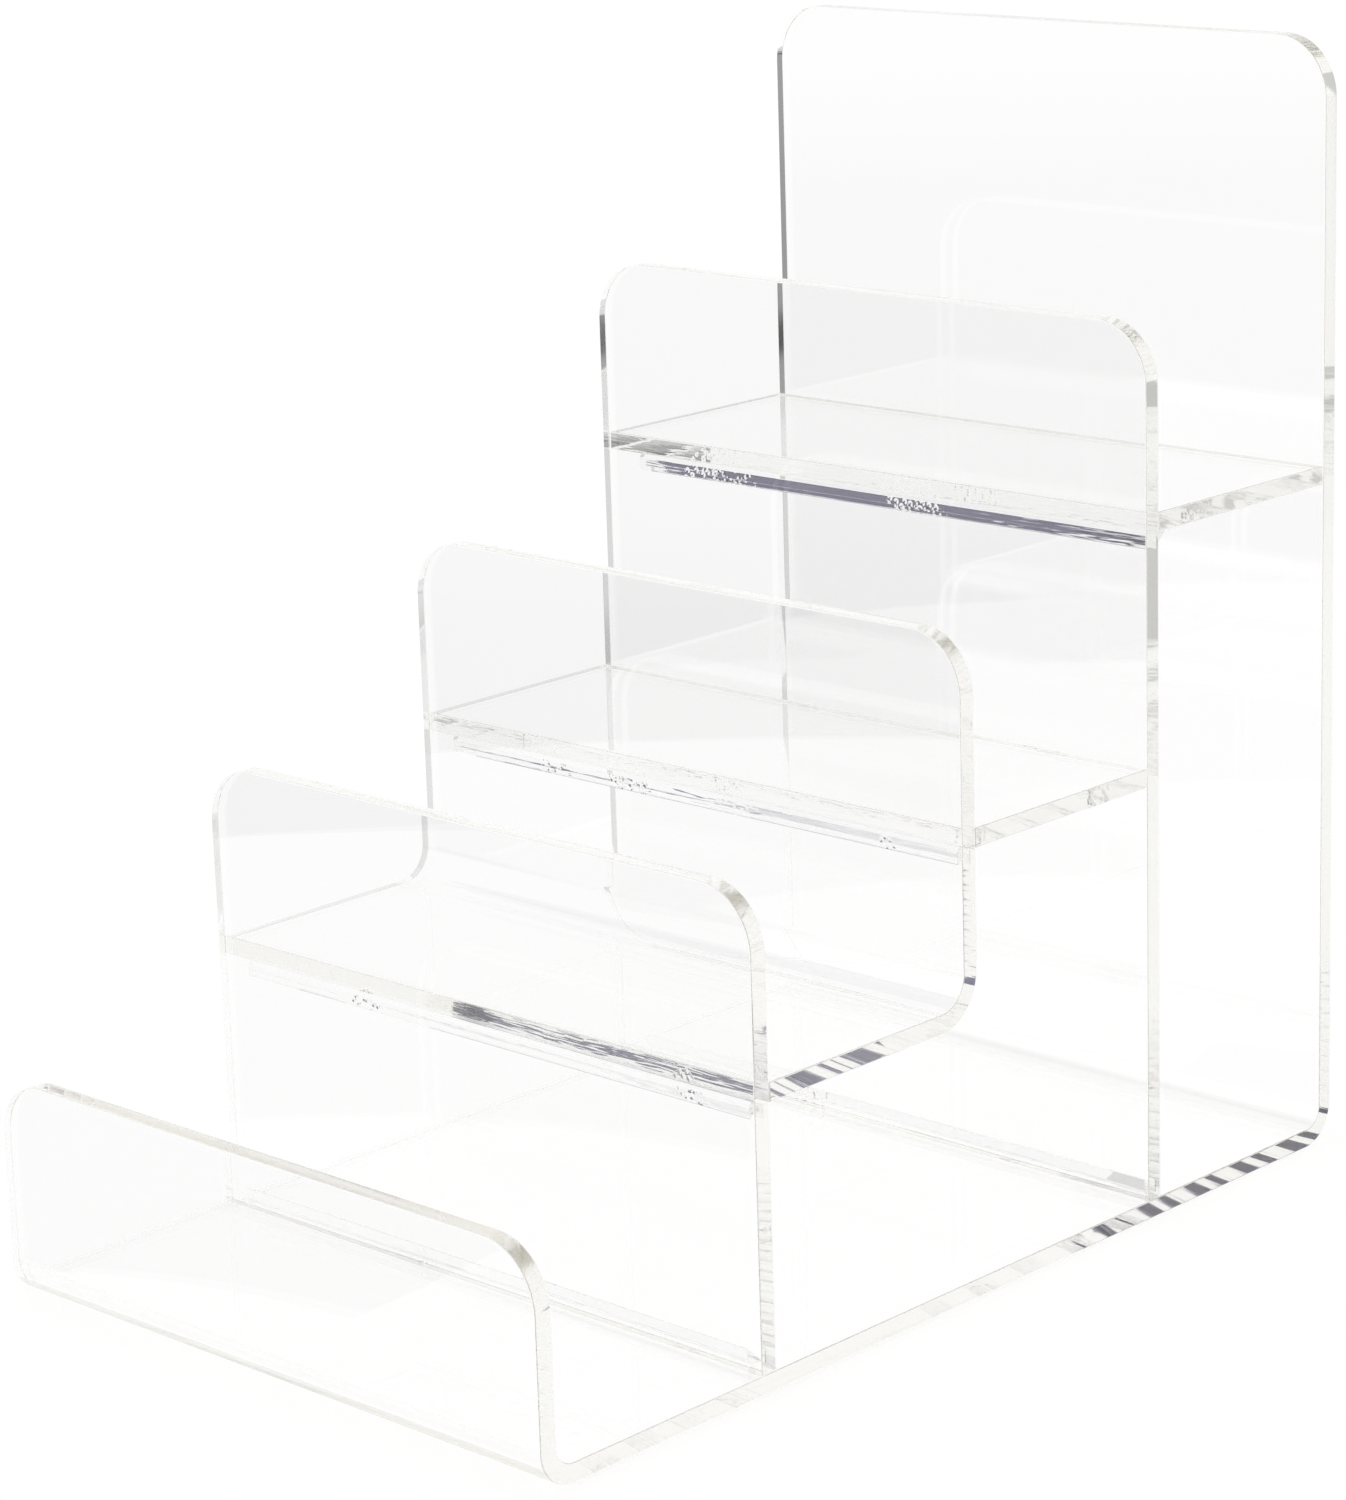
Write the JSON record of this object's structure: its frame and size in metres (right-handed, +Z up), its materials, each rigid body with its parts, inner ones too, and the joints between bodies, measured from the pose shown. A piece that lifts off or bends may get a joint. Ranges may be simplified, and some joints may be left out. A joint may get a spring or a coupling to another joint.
{
  "type": "cosmetic display stand",
  "caption": "Clear acrylic stepped display stand: bent sheet with front lip, base and tall back, with risers and shelves making four lipped tiers.",
  "frame": {"origin": "centre of the footprint, on the surface that the stand rests on", "axes": "+Z up, +Y from the front lip towards the back panel, +X to the right for a person facing the front lip"},
  "size_m": [0.12, 0.192, 0.189],
  "materials": {
    "clear_acrylic": "clear cast acrylic sheet, polished faces and flame-polished edges"
  },
  "bodies": {
    "root": {"main_sheet": "clear_acrylic", "riser_2": "clear_acrylic", "step_sheet": "clear_acrylic", "shelf_3": "clear_acrylic", "riser_4": "clear_acrylic", "shelf_4": "clear_acrylic", "foot_strip_2": "clear_acrylic", "shelf_strip_2": "clear_acrylic", "shelf_strip_3": "clear_acrylic", "foot_strip_4": "clear_acrylic", "shelf_strip_4": "clear_acrylic"}
  },
  "joints": []
}
